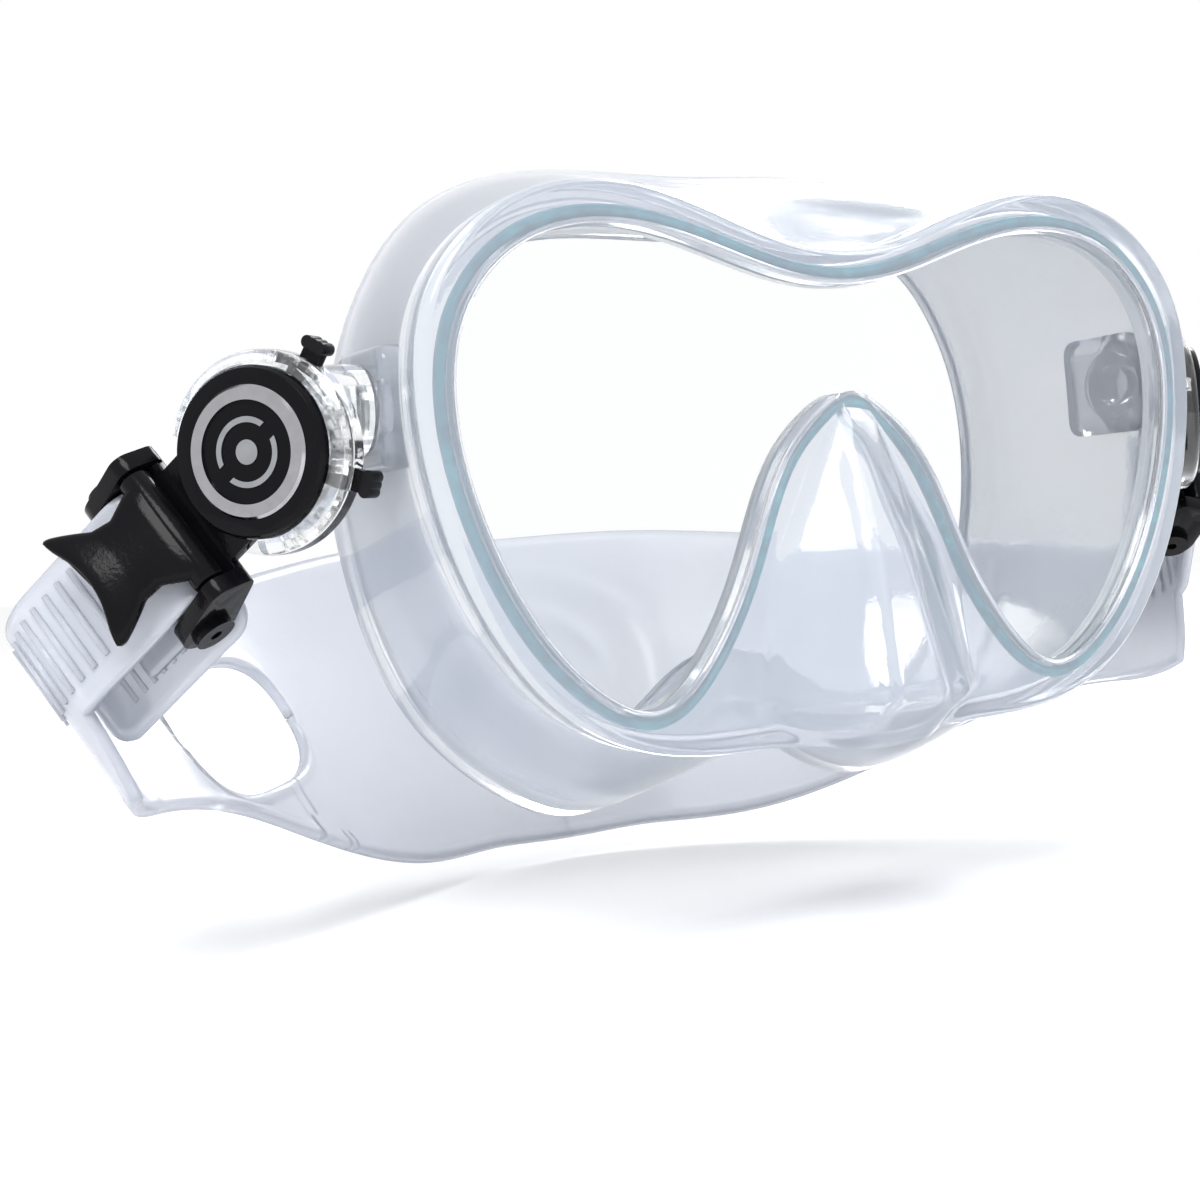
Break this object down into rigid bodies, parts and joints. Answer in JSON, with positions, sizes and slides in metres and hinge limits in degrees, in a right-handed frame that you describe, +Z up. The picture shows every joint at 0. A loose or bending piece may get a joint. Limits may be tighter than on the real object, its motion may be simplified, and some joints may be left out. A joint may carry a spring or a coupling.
{
  "type": "diving mask",
  "caption": "Frameless single-pane diving mask: clear silicone skirt with nose pocket, tempered glass, swivel buckles with strap rollers and release levers, split silicone strap",
  "frame": {"origin": "middle of the face seal: on the plane where the skirt meets the face, on the mask's middle line, level with the middle of the glass", "axes": "+X is the wearer's left, +Y points from the lens to the back of the head, +Z is up"},
  "size_m": [0.2588, 0.1643, 0.1339],
  "materials": {
    "clear_silicone": "clear liquid-moulded silicone, satin gloss, faint blue-grey tint",
    "clear_strap": "clear moulded silicone strap with ladder ribs",
    "tempered_glass": "polished tempered glass",
    "coloured_ring": "turquoise rigid ring moulded in",
    "clear_plastic": "clear polycarbonate",
    "bright_trim": "bright bevelled ring",
    "black_plastic": "gloss black moulding",
    "roller_black": "black fluted roller",
    "lever_black": "black satin moulding",
    "tab_black": "black ribbed moulding",
    "badge_black": "gloss black",
    "badge_silver": "bright foil mark",
    "stainless": "stainless steel"
  },
  "bodies": {
    "mask": {"skirt": "clear_silicone", "lens": "tempered_glass", "lens_ring": "coloured_ring", "right_pivot_post": "clear_plastic", "left_pivot_post": "clear_plastic"},
    "harness": {"strap": "clear_strap", "right_buckle_base": "clear_plastic", "right_buckle_cap": "clear_plastic", "right_bracket": "black_plastic", "right_bracket_rivet": "stainless", "right_trim_ring": "bright_trim", "right_badge_disc": "badge_black", "right_badge_mark": "badge_silver", "right_roller_pin": "black_plastic", "right_lever_pin": "black_plastic", "right_lever_spring": "stainless", "right_upper_tab_spring": "stainless", "right_lower_tab_spring": "stainless", "left_buckle_base": "clear_plastic", "left_buckle_cap": "clear_plastic", "left_bracket": "black_plastic", "left_bracket_rivet": "stainless", "left_trim_ring": "bright_trim", "left_badge_disc": "badge_black", "left_badge_mark": "badge_silver", "left_roller_pin": "black_plastic", "left_lever_pin": "black_plastic", "left_lever_spring": "stainless", "left_upper_tab_spring": "stainless", "left_lower_tab_spring": "stainless"},
    "right_roller_body": {"right_roller": "roller_black"},
    "right_lever_body": {"right_release_lever": "lever_black"},
    "right_upper_tab_body": {"right_upper_pinch_tab": "tab_black"},
    "right_lower_tab_body": {"right_lower_pinch_tab": "tab_black"},
    "left_roller_body": {"left_roller": "roller_black"},
    "left_lever_body": {"left_release_lever": "lever_black"},
    "left_upper_tab_body": {"left_upper_pinch_tab": "tab_black"},
    "left_lower_tab_body": {"left_lower_pinch_tab": "tab_black"}
  },
  "joints": [
    {"name": "strap_swing", "type": "hinge", "parent": "mask", "child": "harness", "pos_m": [0, -0.031, 0.012], "axis": [1, 0, 0], "range_deg": [-25, 80]},
    {"name": "right_roller_spin", "type": "hinge", "parent": "harness", "child": "right_roller_body", "pos_m": [-0.10899, -0.01343, -0.00905], "axis": [-0.3705, 0.4742, 0.7986], "continuous": true},
    {"name": "right_lever_lift", "type": "hinge", "parent": "harness", "child": "right_lever_body", "pos_m": [-0.10932, -0.02129, -0.00453], "axis": [-0.3705, 0.4742, 0.7986], "range_deg": [0, 18], "stiffness_Nm_per_rad": 0.02, "springref_deg": -20.05},
    {"name": "right_upper_tab_press", "type": "slide", "parent": "harness", "child": "right_upper_tab_body", "axis": [-0.3353, 0.4292, -0.8387], "range_m": [0, 0.0012], "stiffness_N_per_m": 800, "springref_m": -0.0004, "deforming": ["right_upper_tab_spring"]},
    {"name": "right_lower_tab_press", "type": "slide", "parent": "harness", "child": "right_lower_tab_body", "axis": [-0.5785, 0.7405, 0.342], "range_m": [0, 0.0012], "stiffness_N_per_m": 800, "springref_m": -0.0004, "deforming": ["right_lower_tab_spring"]},
    {"name": "left_roller_spin", "type": "hinge", "parent": "harness", "child": "left_roller_body", "pos_m": [0.10899, -0.01343, -0.00905], "axis": [-0.3705, -0.4742, -0.7986], "continuous": true},
    {"name": "left_lever_lift", "type": "hinge", "parent": "harness", "child": "left_lever_body", "pos_m": [0.10932, -0.02129, -0.00453], "axis": [-0.3705, -0.4742, -0.7986], "range_deg": [0, 18], "stiffness_Nm_per_rad": 0.02, "springref_deg": -20.05},
    {"name": "left_upper_tab_press", "type": "slide", "parent": "harness", "child": "left_upper_tab_body", "axis": [0.3353, 0.4292, -0.8387], "range_m": [0, 0.0012], "stiffness_N_per_m": 800, "springref_m": -0.0004, "deforming": ["left_upper_tab_spring"]},
    {"name": "left_lower_tab_press", "type": "slide", "parent": "harness", "child": "left_lower_tab_body", "axis": [0.5785, 0.7405, 0.342], "range_m": [0, 0.0012], "stiffness_N_per_m": 800, "springref_m": -0.0004, "deforming": ["left_lower_tab_spring"]}
  ]
}
